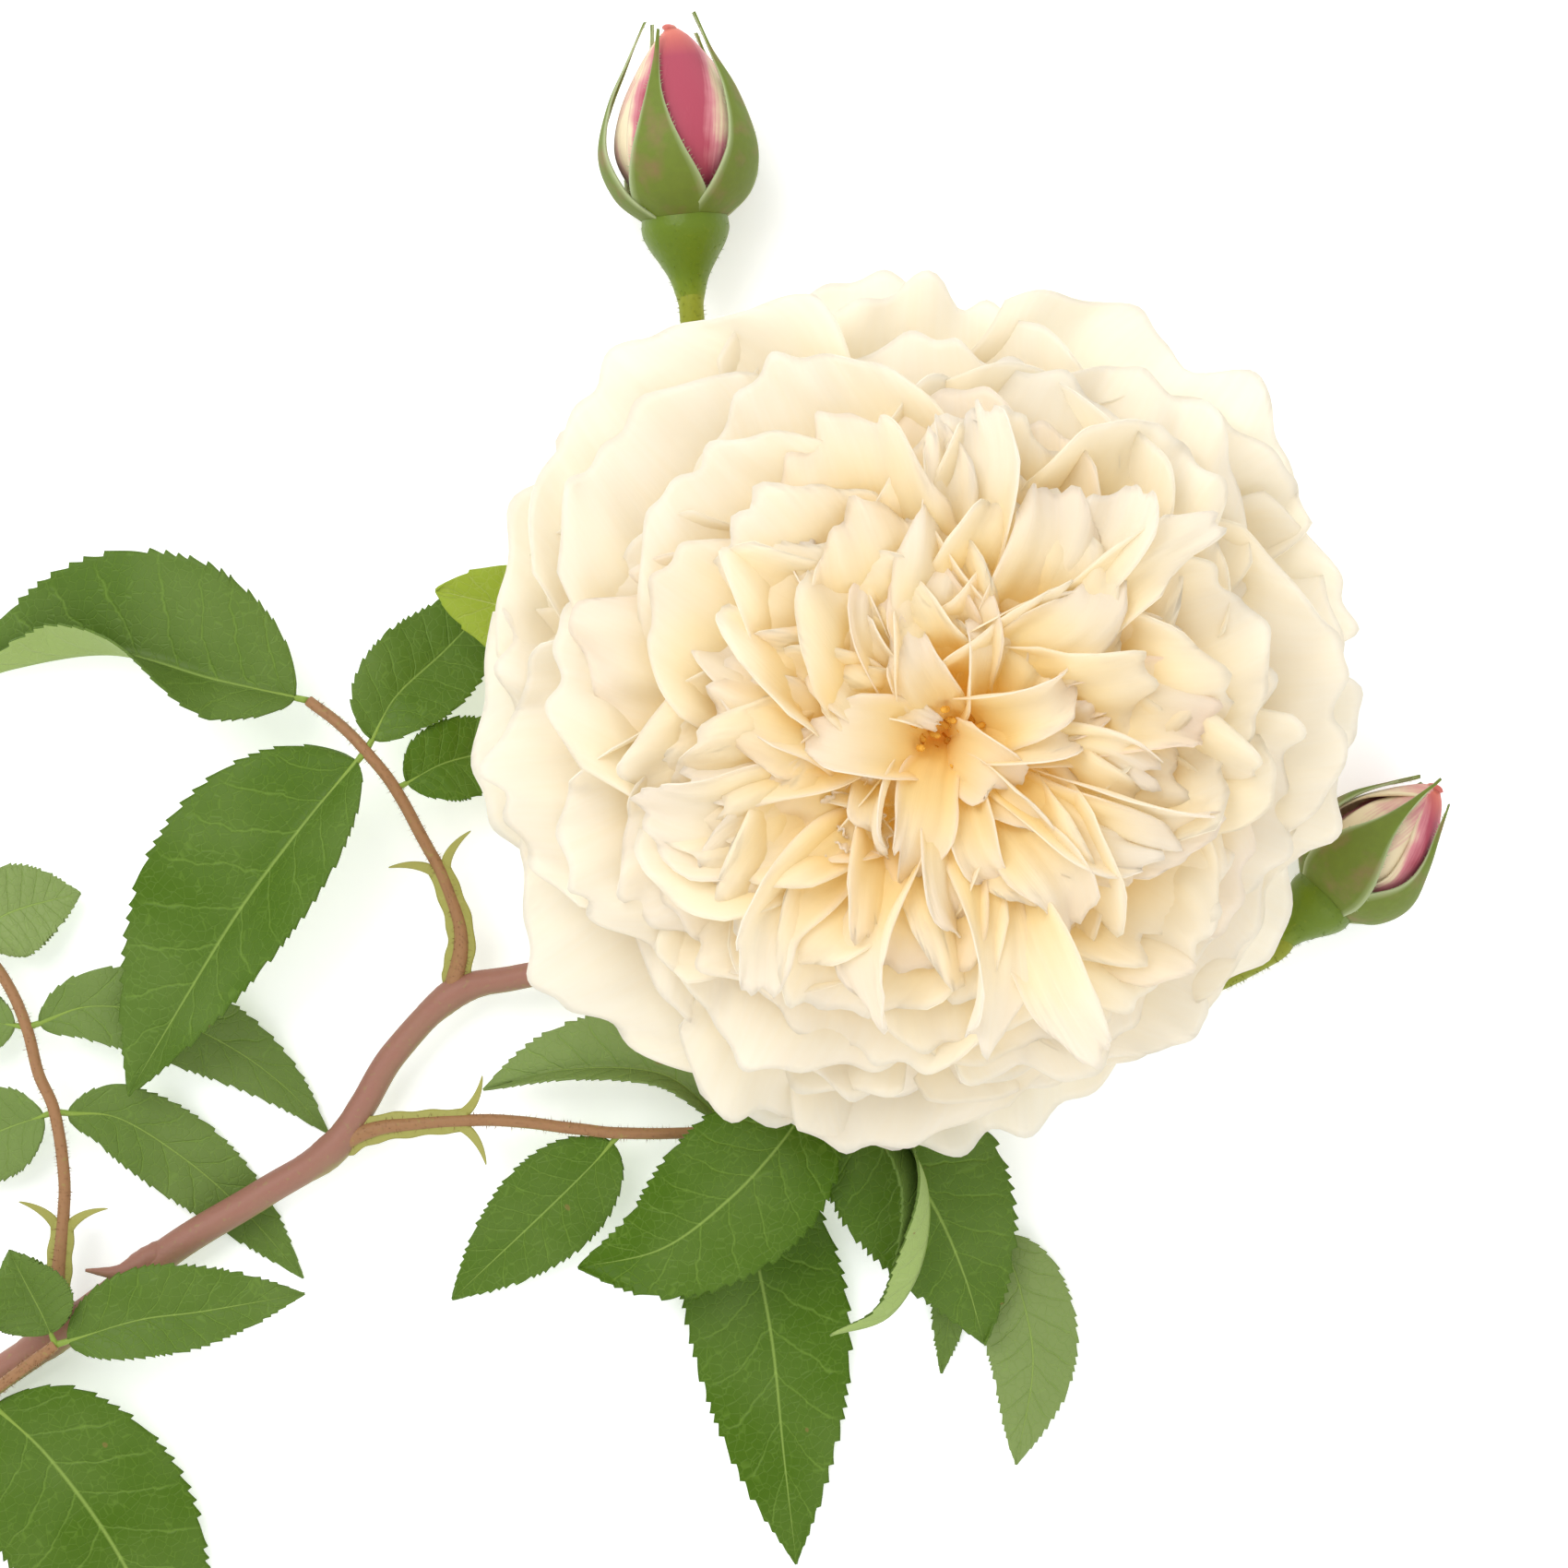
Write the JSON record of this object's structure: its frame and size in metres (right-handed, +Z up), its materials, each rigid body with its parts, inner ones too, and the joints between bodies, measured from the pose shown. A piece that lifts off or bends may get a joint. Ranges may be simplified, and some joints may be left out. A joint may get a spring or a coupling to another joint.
{
  "type": "cut rose",
  "caption": "Cut spray of a shrub rose lying on its side: an open many-petalled bloom facing up, buds and toothed compound leaves on a forked stem.",
  "frame": {"origin": "middle of the whole spray's footprint, on the surface that it lies on", "axes": "+Z up from the surface, the way the bloom faces; +Y along the spray's longest side, towards the upper bud; +X towards the side bud"},
  "size_m": [0.1882, 0.203, 0.0638],
  "materials": {
    "stem": "fresh young bark, mauve-brown above and green below, satin",
    "flower_stalk": "fresh yellow-green skin with fine glands, satin",
    "leaf_stalk": "tan-pink to green skin with fine hairs, satin",
    "leaf": "fresh mid-green leaf, semi-matt above with paler veins, pale yellow-green and matt below",
    "bract": "young yellow-green leaf, matt",
    "calyx": "olive green sepals with hairy pale margins on a smooth yellow-green hip",
    "bud_petal": "rolled petals, rose pink fading to cream, velvety",
    "outer_petal": "cream-white petal, velvety and slightly translucent",
    "inner_petal": "cream to apricot petal, velvety and slightly translucent",
    "stamen": "golden-brown filaments and styles, matt"
  },
  "bodies": {
    "root": {"bloom_calyx": "calyx", "bloom_stalk": "flower_stalk", "bract": "bract", "far_leaf_leaflet_1": "leaf", "far_leaf_leaflet_2": "leaf", "far_leaf_leaflet_3": "leaf", "far_leaf_leaflet_4": "leaf", "far_leaf_leaflet_5": "leaf", "far_leaf_stalk": "leaf_stalk", "fourth_petal_1": "inner_petal", "fourth_petal_2": "inner_petal", "fourth_petal_3": "inner_petal", "fourth_petal_4": "inner_petal", "fourth_petal_5": "inner_petal", "guard_petal_1": "outer_petal", "guard_petal_2": "outer_petal", "guard_petal_3": "outer_petal", "guard_petal_4": "outer_petal", "guard_petal_5": "outer_petal", "guard_petal_6": "outer_petal", "heart_petals": "inner_petal", "inner_leaf_leaflet_1": "leaf", "inner_leaf_leaflet_2": "leaf", "inner_leaf_leaflet_3": "leaf", "inner_leaf_leaflet_4": "leaf", "inner_leaf_leaflet_5": "leaf", "inner_leaf_stalk": "leaf_stalk", "lowest_leaf_leaflet_1": "leaf", "lowest_leaf_leaflet_2": "leaf", "lowest_leaf_leaflet_3": "leaf", "lowest_leaf_stalk": "leaf_stalk", "main_stem": "stem", "middle_leaf_leaflet_1": "leaf", "middle_leaf_leaflet_2": "leaf", "middle_leaf_leaflet_3": "leaf", "middle_leaf_stalk": "leaf_stalk", "second_petal_1": "outer_petal", "second_petal_2": "outer_petal", "second_petal_3": "outer_petal", "second_petal_4": "outer_petal", "second_petal_5": "outer_petal", "second_petal_6": "outer_petal", "side_bud_calyx": "calyx", "side_bud_petals": "bud_petal", "side_bud_stalk": "flower_stalk", "stamen_boss": "stamen", "third_petal_1": "outer_petal", "third_petal_2": "outer_petal", "third_petal_3": "outer_petal", "third_petal_4": "outer_petal", "third_petal_5": "outer_petal", "upper_bud_calyx": "calyx", "upper_bud_petals": "bud_petal", "upper_bud_stalk": "flower_stalk", "upper_leaf_leaflet_1": "leaf", "upper_leaf_leaflet_2": "leaf", "upper_leaf_leaflet_3": "leaf", "upper_leaf_leaflet_4": "leaf", "upper_leaf_stalk": "leaf_stalk"}
  },
  "joints": []
}
